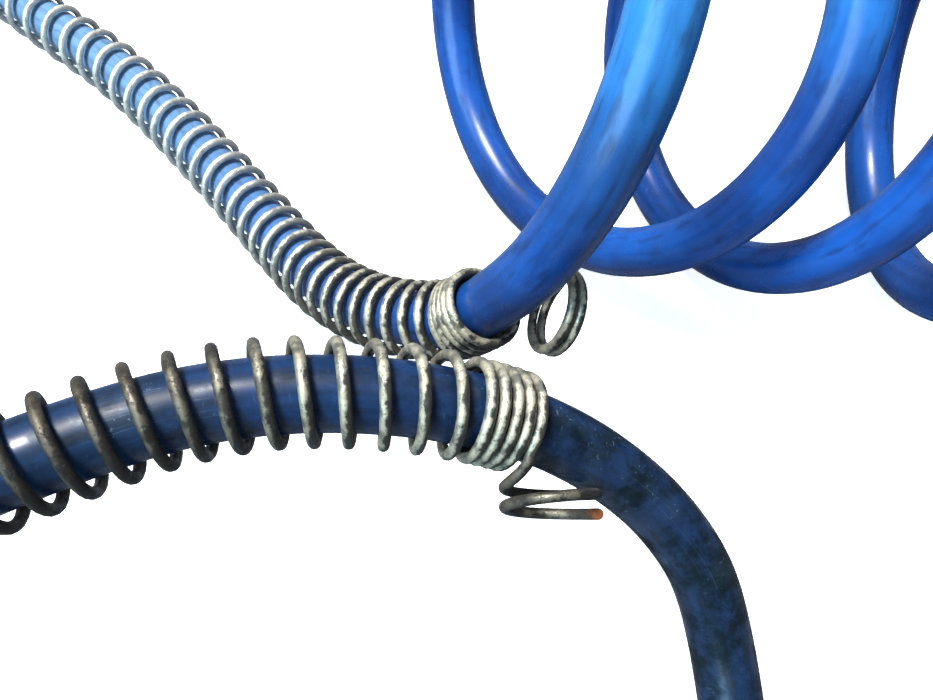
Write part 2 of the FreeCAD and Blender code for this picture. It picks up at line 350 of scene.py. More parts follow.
def streaks() -> bpy.types.NodeTree:
    """The group for marks drawn out along or round a tube, without a seam."""
    name = "Streaks"
    if name in bpy.data.node_groups:
        return bpy.data.node_groups[name]
    usual = {"Along": 100.0, "Round": 6.0, "Shift": 0.0, "Detail": 3.0, "Low": 0.6, "High": 0.7}
    graph, given, result = new_group(name, usual)
    wrap = graph.add("UVMap", {"uv_map": "wrap"}).outputs[0]
    parts = graph.add("SeparateXYZ", None, i0=wrap).outputs
    angle = graph.maths("MULTIPLY", parts[1], TURN)
    along = graph.maths("MULTIPLY_ADD", parts[0], given.outputs["Along"], given.outputs["Shift"])
    across = graph.maths("MULTIPLY", graph.maths("COSINE", angle), given.outputs["Round"])
    beside = graph.maths("MULTIPLY", graph.maths("SINE", angle), given.outputs["Round"])
    place = graph.add("CombineXYZ", None, i0=along, i1=across, i2=beside).outputs[0]
    noise = graph.add("TexNoise", Vector=place, Scale=1.0, Detail=given.outputs["Detail"]).outputs[0]
    mask = graph.remap(noise, given.outputs["Low"], given.outputs["High"])
    graph.tree.links.new(mask, result.inputs["Mask"])
    return graph.tree


@dataclass(frozen=True)
class Finish:
    """A material that is made once and then shared."""

    name: str

    def material(self) -> bpy.types.Material:
        """The material, made the first time that it is asked for."""
        if self.name in bpy.data.materials:
            return bpy.data.materials[self.name]
        made = bpy.data.materials.new(self.name)
        made.use_nodes = True
        graph = Graph(made.node_tree)
        shader = graph.add("BsdfPrincipled")
        output = graph.add("OutputMaterial")
        made.node_tree.links.new(shader.outputs[0], output.inputs[0])
        self.dress(graph, shader)
        return made

    def dress(self, graph: Graph, shader: bpy.types.Node) -> None:
        """Give the shader its colours and values."""
        raise NotImplementedError

    @staticmethod
    def value(graph: Graph, name: str) -> bpy.types.NodeSocket:
        """A number that the piece's own mesh holds."""
        return graph.add("Attribute", {"attribute_name": name}).outputs["Fac"]

    @staticmethod
    def mask(graph: Graph, tree: bpy.types.NodeTree, **values) -> bpy.types.NodeSocket:
        """The mask that a shared group puts out for these values."""
        return graph.add("Group", {"node_tree": tree}, **values).outputs["Mask"]

    @staticmethod
    def feed(graph: Graph, shader: bpy.types.Node, **sockets) -> None:
        """Join sockets to the shader's inputs, spaces written as _."""
        for key, socket in sockets.items():
            graph.tree.links.new(socket, shader.inputs[key.replace("_", " ")])


@dataclass(frozen=True)
class NylonFinish(Finish):
    """Glossy blue nylon that road dirt and rubbing have dulled, most on lead B, with painted shade on its low
    turns, painted glare near its ends, a painted rim sheen and a painted highlight on top of the coil.
    """

    bright: tuple = (0.010, 0.100, 0.46, 1.0)
    deep: tuple = (0.006, 0.036, 0.20, 1.0)
    worn: tuple = (0.008, 0.027, 0.082, 1.0)
    navy: tuple = (0.003, 0.009, 0.014, 1.0)
    dirt: tuple = (0.004, 0.006, 0.009, 1.0)
    scuff: tuple = (0.20, 0.33, 0.52, 1.0)
    # the pale blue of painted glare near the hose's ends
    painted_glare: tuple = (0.230, 0.43, 0.70, 1.0)
    # edge: the pale cyan of a painted rim sheen and of a painted highlight on top of the coil
    edge: tuple = (0.045, 0.330, 0.84, 1.0)

    def marks(self, graph: Graph, wear_and_shade, dusty) -> bpy.types.NodeSocket:
        """Pale scored lines, rings and specks, thicker where the hose is dusty and worn."""
        lines = self.mask(
            graph, streaks(), Along=22.0, Round=30.0, Shift=3.0, Detail=2.0, Low=0.66, High=0.71
        )
        rings = self.mask(
            graph, streaks(), Along=900.0, Round=2.5, Shift=5.0, Detail=2.0, Low=0.69, High=0.73
        )
        specks = self.mask(graph, blotches(), Scale=1400.0, Detail=2.0, Low=0.66, High=0.72)
        rings = graph.maths("MULTIPLY", rings, 0.7)
        scored = graph.maths("MAXIMUM", graph.maths("MULTIPLY", lines, 0.5), rings)
        scored = graph.maths("MULTIPLY", scored, graph.remap(dusty, 0.0, 1.0, 0.15, 0.9))
        marks = graph.maths("MAXIMUM", scored, graph.maths("MULTIPLY", specks, dusty))
        return graph.maths("MULTIPLY", marks, graph.remap(wear_and_shade, 0.0, 1.0, 0.16, 0.50))

    def unworn(self, graph: Graph, cloud) -> bpy.types.NodeSocket:
        """Clouded blue, with a painted rim sheen, a painted highlight towards the top of the coil, and
        painted glare near the hose's ends.
        """
        clean = graph.mix(graph.maths("MULTIPLY", cloud, 0.75), self.bright, self.deep)
        # painted rim sheen from the facing angle, and a painted highlight on the high turns
        rim = graph.add("LayerWeight", Blend=0.5).outputs["Facing"]
        high = graph.maths("MULTIPLY", self.value(graph, "painted_top_light"), graph.remap(cloud, 0.0, 1.0, 0.95, 0.50))
        painted_light = graph.maths("MAXIMUM", graph.remap(rim, 0.6, 1.0, 0.0, 0.2), high)
        # painted glare lightens the ends towards pale blue
        return graph.mix(self.value(graph, "painted_glare"), graph.mix(painted_light, clean, self.edge), self.painted_glare)

    def dress(self, graph: Graph, shader: bpy.types.Node) -> None:
        """Blue with clouds of navy, dark grime, and pale rubbed lines and specks."""
        wear_and_shade = self.value(graph, "wear_and_shade")
        cloud = self.mask(graph, blotches(), Scale=38.0, Detail=4.0, Low=0.38, High=0.66)
        dusty = self.mask(graph, blotches(), Scale=75.0, Detail=6.0, Low=0.50, High=0.68)
        rubbed = self.mask(graph, blotches(), Scale=95.0, Detail=7.0, Roughness=0.7, Low=0.40, High=0.62)
        drawn = self.mask(graph, streaks(), Along=14.0, Round=2.6, Detail=5.0, Low=0.42, High=0.72)
        grime = self.mask(
            graph, streaks(), Along=120.0, Round=3.0, Shift=7.0, Detail=7.0, Low=0.53, High=0.70
        )

        # darker towards navy where worn, and on the low turns as painted shade
        blue = graph.mix(wear_and_shade, self.unworn(graph, cloud), graph.mix(rubbed, self.navy, self.worn))
        dull = graph.maths("MULTIPLY", drawn, graph.remap(wear_and_shade, 0.0, 1.0, 0.25, 0.45))
        dark = graph.maths("MULTIPLY", grime, graph.remap(wear_and_shade, 0.0, 1.0, 0.38, 0.60))
        blue = graph.mix(dark, graph.mix(dull, blue, self.navy), self.dirt)
        marks = self.marks(graph, wear_and_shade, dusty)
        haze = graph.maths("MULTIPLY", dusty, graph.remap(wear_and_shade, 0.0, 1.0, 0.02, 0.04))
        colour = graph.mix(haze, graph.mix(marks, blue, self.scuff), self.scuff)

        rough = graph.remap(graph.maths("ADD", dark, marks), 0.0, 1.0, 0.26, 0.62)
        duller = graph.maths("MULTIPLY", wear_and_shade, graph.remap(rubbed, 0.0, 1.0, 0.16, 0.01))
        lost = graph.maths("MULTIPLY", graph.remap(rubbed, 0.0, 1.0, 0.34, 0.06), wear_and_shade)
        height = graph.maths("SUBTRACT", graph.maths("MULTIPLY", cloud, 0.3), marks)
        shader.inputs["IOR"].default_value = 1.53
        self.feed(
            graph,
            shader,
            Base_Color=colour,
            Roughness=graph.maths("ADD", rough, duller),
            Normal=graph.bump(height, 0.35, 0.12 * MM),
            Specular_IOR_Level=graph.maths("SUBTRACT", 0.5, lost),
        )


@dataclass(frozen=True)
class GalvanisedFinish(Finish):
    """Old zinc-plated spring wire: pale crust over dark, greasy metal, rusted at its cut end, with painted
    shade on one side of each wire.
    """

    pale: tuple = (0.70, 0.66, 0.51, 1.0)
    # white: painted glare, laid on lead A's far turns as their value falls below zero
    white: tuple = (0.93, 0.93, 0.90, 1.0)
    zinc: tuple = (0.36, 0.35, 0.30, 1.0)
    # grease: real smears and specks, and also the painted shade on one side of each wire
    grease: tuple = (0.014, 0.013, 0.012, 1.0)
    brown: tuple = (0.060, 0.046, 0.036, 1.0)
    rust: tuple = (0.30, 0.085, 0.030, 1.0)

    def dress(self, graph: Graph, shader: bpy.types.Node) -> None:
        """Zinc with pale crust, black specks and smears, painted shade on one side of the wire, painted white
        glare on lead A's far turns, and brown where it is old.
        """
        age = self.value(graph, "age")
        cut = self.value(graph, "cut")
        crust = self.mask(graph, blotches(), Scale=420.0, Detail=6.0, Low=0.36, High=0.60)
        smear = self.mask(graph, blotches(), Scale=110.0, Detail=5.0, Low=0.47, High=0.66)
        specks = self.mask(graph, blotches(), Scale=1500.0, Detail=3.0, Low=0.56, High=0.66)
        brown = self.mask(graph, blotches(), Scale=230.0, Detail=4.0, Low=0.50, High=0.70)

        base = graph.mix(crust, self.zinc, self.pale)
        # below zero the wire is painted white as glare
        base = graph.mix(graph.remap(age, -1.0, 0.0, 0.75, 0.0), base, self.white)
        base = graph.mix(graph.remap(age, 0.0, 1.0, 0.0, 0.90), base, self.brown)
        base = graph.mix(graph.maths("MULTIPLY", brown, 0.30), base, self.brown)
        # one side of each wire, facing a fixed direction, is painted dark as shade, broken up by crust and
        # smears
        edge = graph.maths("MULTIPLY_ADD", crust, -0.5, self.value(graph, "painted_shade_side"))
        edge = graph.maths("MULTIPLY_ADD", smear, 0.5, edge)
        edge = graph.remap(edge, -0.20, 0.22)
        dirt_and_shade = graph.maths("MULTIPLY", smear, graph.remap(age, -1.0, 1.0, 0.05, 0.90))
        dirt_and_shade = graph.maths("MAXIMUM", dirt_and_shade, graph.maths("MULTIPLY", specks, 0.55))
        edge = graph.maths("MULTIPLY", edge, graph.remap(age, -1.0, 0.0, 0.15, 0.92))
        dirt_and_shade = graph.maths("MAXIMUM", dirt_and_shade, edge)
        colour = graph.mix(dirt_and_shade, base, self.grease)
        colour = graph.mix(cut, colour, self.rust)

        shiny = graph.remap(graph.maths("MAXIMUM", dirt_and_shade, cut), 0.0, 1.0, 0.75, 0.25)
        rough = graph.remap(crust, 0.0, 1.0, 0.34, 0.58)
        height = graph.maths("SUBTRACT", crust, graph.maths("MULTIPLY", specks, 1.4))
        normal = graph.bump(height, 0.45, 0.10 * MM)
        self.feed(graph, shader, Base_Color=colour, Metallic=shiny, Roughness=rough, Normal=normal)


@dataclass(frozen=True)
class PipeThread:
    """A male pipe thread, drawn as winding ridges: its middle in mm, its axis and its sizes."""

    middle: tuple
    axis: tuple
    length: float = 15.0 * MM
    pitch: float = 1.81 * MM
    depth: float = 0.9 * MM
    runout: float = 0.4 * MM

    def ridges(self, graph: Graph) -> bpy.types.NodeSocket:
        """The height of the thread's winding ridges, from 0 to 1, and 0 away from it."""
        axis = Vector(self.axis).normalized()
        side = axis.cross(UP).normalized()
        place = graph.add("TexCoord").outputs["Object"]
        offset = graph.add("VectorMath", {"operation": "SUBTRACT"}, i0=place, i1=mm(*self.middle)).outputs[0]
        along, across, rise = (
            graph.add("VectorMath", {"operation": "DOT_PRODUCT"}, i0=offset, i1=way).outputs["Value"]
            for way in (axis, side, axis.cross(side))
        )
        angle = graph.maths("ARCTAN2", across, rise)
        wound = graph.maths("MULTIPLY_ADD", angle, self.pitch / TURN, along)
        height = graph.remap(graph.maths("PINGPONG", wound, self.pitch / 2.0), 0.0, self.pitch / 2.0)
        far = graph.maths("ABSOLUTE", along)
        inside = graph.remap(far, self.length / 2.0, self.length / 2.0 + self.runout, 1.0, 0.0)
        return graph.maths("MULTIPLY", height, inside)


@dataclass(frozen=True)
class MetalFinish(Finish):
    """Turned metal with tarnish and a little dirt, and winding thread ridges where it has a thread."""

    clean: tuple = (0.78, 0.55, 0.22, 1.0)
    tarnish: tuple = (0.34, 0.20, 0.07, 1.0)
    dirt: tuple = (0.05, 0.04, 0.03, 1.0)
    roughness: float = 0.24
    thread: PipeThread | None = None

    def dress(self, graph: Graph, shader: bpy.types.Node) -> None:
        """Clean metal with cloudy tarnish, darker specks and uneven polish."""
        cloud = self.mask(graph, blotches(), Scale=90.0, Detail=5.0, Low=0.42, High=0.68)
        specks = self.mask(graph, blotches(), Scale=900.0, Detail=4.0, Low=0.62, High=0.72)
        smear = self.mask(graph, blotches(), Scale=260.0, Detail=6.0, Low=0.50, High=0.74)
        colour = graph.mix(graph.maths("MULTIPLY", cloud, 0.6), self.clean, self.tarnish)
        grubby = graph.maths("MAXIMUM", graph.maths("MULTIPLY", smear, 0.5), specks)
        colour = graph.mix(grubby, colour, self.dirt)
        darkened = graph.maths("ADD", cloud, grubby)
        rough = graph.remap(darkened, 0.0, 1.6, self.roughness, self.roughness + 0.30)
        wound = graph.bump(self.thread.ridges(graph), 1.0, self.thread.depth) if self.thread else None
        normal = graph.bump(graph.maths("SUBTRACT", smear, specks), 0.25, 0.06 * MM, wound)
        shader.inputs["Metallic"].default_value = 1.0
        self.feed(graph, shader, Base_Color=colour, Roughness=rough, Normal=normal)


@dataclass(frozen=True)
class SoftFinish(Finish):
    """A small washer or O-ring in plastic or rubber, with a film of grease."""

    colour: tuple = (0.02, 0.02, 0.02, 1.0)
    film: tuple = (0.06, 0.06, 0.055, 1.0)
    roughness: float = 0.4

    def dress(self, graph: Graph, shader: bpy.types.Node) -> None:
        """The plain colour with a patchy film."""
        patch = self.mask(graph, blotches(), Scale=300.0, Detail=4.0, Low=0.45, High=0.65)
        colour = graph.mix(graph.maths("MULTIPLY", patch, 0.6), self.colour, self.film)
        rough = graph.remap(patch, 0.0, 1.0, self.roughness, self.roughness + 0.2)
        self.feed(graph, shader, Base_Color=colour, Roughness=rough)


@dataclass(frozen=True)
class BenchFinish(Finish):
    """A smooth white bench top that throws little of its light back up."""

    colour: tuple = (0.96, 0.96, 0.96, 1.0)
    shade: tuple = (0.94, 0.945, 0.95, 1.0)
    thrown: tuple = (0.15, 0.16, 0.18, 1.0)
    glow: tuple = (0.74, 0.74, 0.75, 1.0)

    def dress(self, graph: Graph, shader: bpy.types.Node) -> None:
        """White where it is looked at, and grey in what it lights."""
        patch = self.mask(graph, blotches(), Scale=9.0, Detail=3.0, Low=0.3, High=0.7)
        white = graph.mix(patch, self.colour, self.shade)
        seen = graph.add("LightPath").outputs["Is Camera Ray"]
        shader.inputs["Roughness"].default_value = 0.8
        shader.inputs["Specular IOR Level"].default_value = 0.1
        shader.inputs["Emission Strength"].default_value = 1.0
        glow = graph.mix(seen, (0.0, 0.0, 0.0, 1.0), self.glow)
        self.feed(graph, shader, Base_Color=graph.mix(seen, self.thrown, white), Emission_Color=glow)


NYLON = NylonFinish("hose nylon")
WIRE = GalvanisedFinish("spring wire")
BRASS = MetalFinish("fitting brass")
RIGID_BRASS = MetalFinish(
    "rigid body brass", thread=PipeThread((-219.41, 172.15, 12.7), (-0.7873, 0.6165, 0.0))
)
ADAPTER_BRASS = MetalFinish(
    "adapter brass", thread=PipeThread((-302.61, -162.35, 12.7), (-0.9721, -0.2346, 0.0))
)
BRASS_INSERT = MetalFinish("insert brass", clean=(0.80, 0.58, 0.26, 1.0), roughness=0.18)
CLIP_STEEL = MetalFinish(
    "clip steel", clean=(0.42, 0.42, 0.43, 1.0), tarnish=(0.16, 0.14, 0.12, 1.0), roughness=0.30
)
RUBBER = SoftFinish("seal rubber")
WASHER = SoftFinish("washer plastic", colour=(0.72, 0.71, 0.66, 1.0), film=(0.40, 0.39, 0.35, 1.0))
BENCH = BenchFinish("bench top")

SLOT_FINISHES = {
    "brass_fitting": BRASS,
    "brass_insert": BRASS_INSERT,
    "washer": WASHER,
    "retaining_ring": CLIP_STEEL,
    "o_ring_rubber": RUBBER,
}
NODE_FINISHES = {"rigid_body": RIGID_BRASS, "swivel_adapter": ADAPTER_BRASS}


# ---- the hose -------------------------------------------------------------


@dataclass
class CoiledHose:
    """One nylon hose: lead A, the coil's turns, then lead B."""

    diameter: float = 12.7 * MM
    bore: float = 9.6 * MM
    bore_depth: float = 45.0 * MM
    per_turn: int = 16
    lead_in_turns: float = 0.172     # the coil starts this share of a turn past its lowest point
    turns: float = 9.828             # and ends at the bottom of its last turn
    clear: float = 0.3 * MM          # between the bench and a turn that stands on it
    shaded_below: float = 50.0 * MM  # turns are painted darker below this height, as shade near the bench
    # how much darker that painted shade makes a turn at the bench
    darkened: float = 0.38
    painted_top_light_between: tuple = (70.0 * MM, 108.0 * MM)   # a painted highlight grows on the turns towards this height
    path: list[Vector] = field(default_factory=list, init=False)
    along: list[float] = field(default_factory=list, init=False)

    # hose end in the rigid fitting, along the bench, and up to the coil
    LEAD_A = (
        (-203.9, 160.0, 12.7), (-185.0, 145.2, 12.7), (-166.1, 130.4, 12.7), (-150.5, 117.8, 11.2),
        (-134.0, 104.6, 9.8), (-117.0, 91.5, 9.3), (-97.0, 71.5, 9.2), (-79.7, 52.0, 9.2), (-62.4, 31.5, 9.6),
        (-48.0, 12.5, 12.0), (-35.0, -4.0, 18.0), (-23.5, -14.5, 24.0), (-13.0, -21.5, 30.0),
        (-4.5, -25.0, 35.0),
    )
    # each turn's middle x and y and its radius, in mm, and how far it is yawed and leans, in degrees
    COIL = (
        (-8.0, 34.0, 67.0, 19.0, 20.0), (41.0, 44.0, 52.0, 24.0, 21.0), (79.0, 35.0, 47.0, 8.0, 17.0),
        (132.0, 22.0, 47.0, -17.0, 5.0), (172.0, 16.0, 46.0, -8.0, 6.0), (205.0, 15.0, 47.0, 2.0, 8.0),
        (230.0, 15.0, 47.0, 0.0, 8.0), (252.0, 15.0, 47.0, 0.0, 8.0), (271.0, 15.0, 47.0, 0.0, 7.0),
        (289.0, 15.0, 47.0, 0.0, 6.0), (308.0, 15.0, 47.0, 0.0, 6.0),
    )
    # round the front of the bench, up past the spring guard, and down to the swivel fitting
    LEAD_B = (
        (300.5, -40.0, 7.4), (299.0, -80.0, 6.5), (276.0, -127.0, 6.4), (214.0, -166.0, 6.35),
        (150.0, -178.5, 6.35), (98.0, -177.0, 6.35), (66.0, -152.0, 6.35), (55.5, -128.0, 6.35),
        (53.5, -106.0, 7.0), (51.0, -88.0, 15.5), (46.5, -76.5, 25.0),
        (38.5, -68.0, 32.5), (28.5, -62.6, 41.0), (17.5, -59.5, 49.5), (5.5, -58.2, 57.5),
        (-10.0, -58.0, 64.0), (-26.5, -58.8, 67.3), (-42.0, -61.8, 69.3), (-55.5, -67.3, 71.0),
        (-75.0, -77.5, 72.5), (-100.0, -90.0, 69.5), (-136.0, -109.0, 56.0), (-170.0, -124.0, 33.0),
        (-210.0, -140.0, 12.7), (-239.0, -147.0, 12.7), (-268.0, -154.0, 12.7),
    )

    # how worn the nylon is, and how much painted glare it has: metres from one end (from the far end if below
    # zero)
    WEAR = (
        (0.0, 0.10), (0.20, 0.10), (0.26, 0.45), (0.32, 0.35), (0.42, 0.05),
        (-0.75, 0.10), (-0.55, 1.0), (-0.32, 1.0), (-0.28, 0.84),
    )
    PAINTED_GLARE = ((0.0, 0.95), (0.14, 0.85), (0.22, 0.35), (0.28, 0.0), (-0.30, 0.0), (-0.20, 0.30))

    def turn_point(self, turn: float) -> Vector:
        """A control point of the coil, turn turns after the coil's start."""
        x, y, radius, yaw, lean = through(self.COIL, turn)
        yaw = math.radians(yaw)
        lean = math.radians(lean)
        rise = Vector((math.sin(lean) * math.cos(yaw), math.sin(lean) * math.sin(yaw), math.cos(lean)))
        away = Vector((-math.sin(yaw), math.cos(yaw), 0.0))
        middle = mm(x, y, radius * math.cos(lean)) + UP * (self.diameter / 2.0 + self.clear)
        angle = TURN * (turn + self.lead_in_turns)
        reach = radius * MM / math.cos(math.pi / self.per_turn)
        return middle - (rise * math.cos(angle) + away * math.sin(angle)) * reach

    def lay(self) -> list[float]:
        """Lay the centreline, from the rigid fitting to the swivel fitting.

        Returns:
            How far each of its points is through the coil, 0 before it and 1 after it.
        """
        steps = round(self.turns * self.per_turn)
        coil = [self.turn_point(self.turns * step / steps) for step in range(steps + 1)]
        lead_a = [mm(*point) for point in self.LEAD_A]
        lead_b = [mm(*point) for point in self.LEAD_B]
        self.path = smooth_line(lead_a + coil + lead_b, per_span=6)
        self.along = distances(self.path)
        spans = len(lead_a) + len(coil) + len(lead_b) - 1
        last = len(self.path) - 1
        shares = [ring / last * spans for ring in range(last + 1)]
        return [min(1.0, max(0.0, (share - len(lead_a)) / len(coil))) for share in shares]

    def from_ends(self, rows: tuple) -> list[tuple[float, float]]:
        """A table whose places below zero are measured back from the far end, made into one."""
        return [(place if place >= 0.0 else self.along[-1] + place, value) for place, value in rows]

    def age(self, mesh: bpy.types.Mesh) -> None:
        """Store how worn each ring is, with painted shade on the turns near the bench, its painted glare, and
        its painted highlight towards the top of the coil.
        """
        worn = self.from_ends(self.WEAR)
        painted_glare = self.from_ends(self.PAINTED_GLARE)
        low, high = self.painted_top_light_between
        # worn amount from the table, raised on turns low down near the bench by painted shade
        wear_and_shade = [
            max(read_off(worn, far), self.darkened * (1.0 - point.z / self.shaded_below))
            for far, point in zip(self.along, self.path)
        ]
        ring_values(mesh, "wear_and_shade", wear_and_shade)
        # painted glare near both ends of the hose
        ring_values(mesh, "painted_glare", [read_off(painted_glare, far) for far in self.along])
        # how strong the painted highlight is on each ring, growing towards the top of the coil
        heights = [(point.z - low) / (high - low) for point in self.path]
        ring_values(mesh, "painted_top_light", [min(1.0, max(0.0, height)) for height in heights])

    def build(self) -> bpy.types.Object:
        """Returns:
            The hose's object.
        """
        stretch = self.lay()
        mesh = tube_mesh("hose", self.path, self.diameter / 2.0, resolution=12)
        self.age(mesh)
        piece = shown("hose", mesh, NYLON)
        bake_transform(piece, "root", "free_end", start=self.path[0], end=self.path[-1])
        # only the coil stretches, so its own rings take over from the even blend
        mesh.attributes.remove(mesh.attributes["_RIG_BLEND"])
        ring_values(mesh, "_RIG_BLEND", stretch)
        self.open_ends(mesh)
        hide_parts("hose_lead_a", "hose_coil", "hose_lead_b")
        LOG.info("hose: %.2f m", self.along[-1])
        return piece

    def open_ends(self, mesh: bpy.types.Mesh) -> None:
        """Turn the wall in at both ends and run the bore a little way up the hose."""
        ends = ((self.path[0], self.path[1]), (self.path[-1], self.path[-2]))
        shrink = self.bore / self.diameter
        shape = bmesh.new()
        shape.from_mesh(mesh)
        for end, inside in ends:
            inwards = (inside - end).normalized()
            lip = extruded(shape, rim_at(shape, end, self.diameter))
            bmesh.ops.scale(shape, vec=(shrink,) * 3, space=Matrix.Translation(-end), verts=lip[0])
            wall = extruded(shape, lip[1])
            bmesh.ops.translate(shape, vec=inwards * self.bore_depth, verts=wall[0])
            bmesh.ops.edgeloop_fill(shape, edges=wall[1])
        bmesh.ops.recalc_face_normals(shape, faces=shape.faces)
        shape.to_mesh(mesh)
        shape.free()

    def place_at(self, far: float) -> tuple[Vector, Vector]:
        """The centreline's point and direction at a distance along the hose."""
        far = min(max(far, 0.0), self.along[-1])
        low = min(bisect_right(self.along, far), len(self.along) - 1) - 1
        high = low + 1
        share = (far - self.along[low]) / (self.along[high] - self.along[low])
        return self.path[low].lerp(self.path[high], share), (self.path[high] - self.path[low]).normalized()


# ---- the spring guards ----------------------------------------------------


@dataclass
class SpringGuard:
    """An open wound wire spring round a lead, close wound at its mouth, with an end eye."""

    name: str
    node: str
    body: str
    mouth: float                                 # where its last turn is, along the hose
    back: float                                  # where its first turn is
    inward: float                                # 1 if the hose's length grows towards the mouth
    winding: Winding
    pitches: tuple                               # turns back from the mouth, and the pitch there in mm
    hang: tuple                                  # turns back, and shift in mm towards hang_to
    start_angle: float                           # of the wire at the mouth, in turns from the top
    eye_middle: Vector
    eye_axis: Vector
    eye_from: Vector                             # from the eye's middle to where the wire joins it
    eye_turns: float
    eye_rise: float                              # between one flat turn of the eye and the next
    eye_age: float
    ages: tuple                                  # turns back from the mouth, and how old it looks, painted white as glare below zero
    link: tuple = ()                             # points in mm between the last turn and the eye
    hang_to: tuple = (-0.4, -0.7, -0.6)          # the way that the loose turns have slipped
    shade_towards: tuple = (0.80, -0.45, -0.20)        # the side of each wire that is painted dark as shade
    wire: float = 2.0 * MM
    outside: float = 18.4 * MM
    eye_outside: float = 17.6 * MM
    rusted: float = 1.2 * MM                     # of the wire's cut end
    end_width: float = 0.8                       # of a rounded end face, as a share of the wire's
    end_bulge: float = 0.08                      # how far the face stands out, as the same share
    per_turn: int = 16

    def reach(self, outside: float) -> float:
        """How far out the control points of a turn lie, for the wire to be outside wide."""
        ripple = (2.0 + math.cos(TURN / self.per_turn)) / 3.0
        return (outside - self.wire) / 2.0 / ripple

    def wound(self, hose: CoiledHose) -> tuple[list[Vector], list[float]]:
        """The wire's control points from the fitting to the mouth, and how old each looks, painted pale as
        glare below zero.
        """
        radius = self.reach(self.outside)
        points = []
        ages = []
        far = self.mouth
        step = 0
        while (far - self.back) * self.inward > 0.0:
            turn = step / self.per_turn
            middle, ahead = hose.place_at(far)
            ahead = ahead * self.inward
            across = ahead.cross(UP).normalized()
            rise = across.cross(ahead)
            angle = TURN * (self.start_angle - self.winding.value * turn)
            shift = read_off(self.hang, turn) * MM
            spoke = rise * math.cos(angle) + across * math.sin(angle)
            points.append(middle + Vector(self.hang_to) * shift + spoke * radius)
            ages.append(read_off(self.ages, turn))
            far -= read_off(self.pitches, turn) * MM / self.per_turn * self.inward
            step += 1
        return points[::-1], ages[::-1]

    def eye(self) -> list[Vector]:
        """The control points of the eye's flat turns, from where the wire joins it."""
        radius = self.reach(self.eye_outside)
        axis = self.eye_axis.normalized()
        first = (self.eye_from - axis * self.eye_from.dot(axis)).normalized()
        second = axis.cross(first)
        points = []
        for step in range(round(self.eye_turns * self.per_turn) + 1):
            turn = step / self.per_turn
            lift = axis * (turn - self.eye_turns / 2.0) * self.eye_rise
            spoke = first * math.cos(TURN * turn) + second * math.sin(TURN * turn)
            points.append(self.eye_middle + lift + spoke * radius)
        return points

    def weather(self, mesh: bpy.types.Mesh, line: list[Vector], controls: list[float]) -> None:
        """Store how old the wire looks, with painted glare below zero, where its cut end has rusted, and
        which side of it is painted dark as shade.

        Args:
            mesh: the wire's mesh, with open ends.
            line: its centreline.
            controls: how old it looks at each control point, painted pale as glare below zero.
        """
        last = len(line) - 1
        ages = [controls[round(ring / last * (len(controls) - 1))] for ring in range(last + 1)]
        ring_values(mesh, "age", ages)
        along = distances(line)
        ring_values(mesh, "cut", [max(0.0, 1.0 - (along[-1] - far) / self.rusted) for far in along])
        sides = len(mesh.vertices) // len(line)
        # how far each point of the wire faces the side that is painted dark as shade
        towards = Vector(self.shade_towards).normalized() * 2.0 / self.wire
        painted_shade_side = mesh.attributes.new("painted_shade_side", "FLOAT", "POINT")
        painted_shade_side.data.foreach_set(
            "value", [(vertex.co - line[vertex.index // sides]).dot(towards) for vertex in mesh.vertices]
        )

    def build(self, hose: CoiledHose) -> bpy.types.Object:
        """Wind the wire round the hose and make its eye.

        Args:
            hose: the hose that it is on.

        Returns:
            The wire's object.
        """
        points, ages = self.wound(hose)
        eye = [mm(*point) for point in self.link] + self.eye()
        line = smooth_line(points + eye, per_span=2, order=4)
        mesh = tube_mesh(self.name, line, self.wire / 2.0, resolution=4)
        self.weather(mesh, line, ages + [self.eye_age] * len(eye))
        self.close_ends(mesh, line)
        piece = shown(self.name, mesh, WIRE)
        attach(piece, self.body)
        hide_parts(self.node)
        LOG.info("%s: %.1f turns", self.name, len(points) / self.per_turn)
        return piece

    def close_ends(self, mesh: bpy.types.Mesh, line: list[Vector]) -> None:
        """Close the wire's two cut ends with slightly rounded faces."""
        shape = bmesh.new()
        shape.from_mesh(mesh)
        for end, inside in ((line[0], line[1]), (line[-1], line[-2])):
            points, edges = extruded(shape, rim_at(shape, end, self.wire))
            outwards = (end - inside).normalized()
            bmesh.ops.scale(shape, vec=(self.end_width,) * 3, space=Matrix.Translation(-end), verts=points)
            bmesh.ops.translate(shape, vec=outwards * self.wire * self.end_bulge, verts=points)
            bmesh.ops.edgeloop_fill(shape, edges=edges)
        bmesh.ops.recalc_face_normals(shape, faces=shape.faces)
        shape.to_mesh(mesh)
        shape.free()


def spring_guard_a() -> SpringGuard:
    """Lead A's guard, its far turns painted white as glare, whose eye stands beside the coil's first turn."""
    return SpringGuard(
        name="spring_guard_wire_a",
        node="spring_guard_a",
        body="root",
        mouth=0.2915,
        back=FIRST_TURN,
        inward=1.0,
        winding=Winding.RIGHT,
        pitches=(
            (0, 2.05), (4.5, 2.05), (4.8, 4.6), (10.6, 5.2), (16, 6.7), (20, 7.2),
            (26, 7.8), (29, 9.4), (50, 9.7),
        ),
        hang=((0, 0.0), (5, 0.0), (10, 0.4), (50, 0.6)),
        hang_to=(-0.5, -0.8, 0.0),
        start_angle=0.72,
        eye_middle=mm(18.4, -29.2, 45.3),
        eye_axis=Vector((0.88, -0.02, -0.47)),
        eye_from=Vector((-0.25, 0.80, 0.50)),
        eye_turns=1.93,
        eye_rise=2.3 * MM,
        eye_outside=18.8 * MM,
        eye_age=0.25,
        # below zero these turns are painted white as glare
        ages=((0, 0.0), (5, 0.0), (14, -0.3), (24, -1.0), (50, -1.0)),
    )


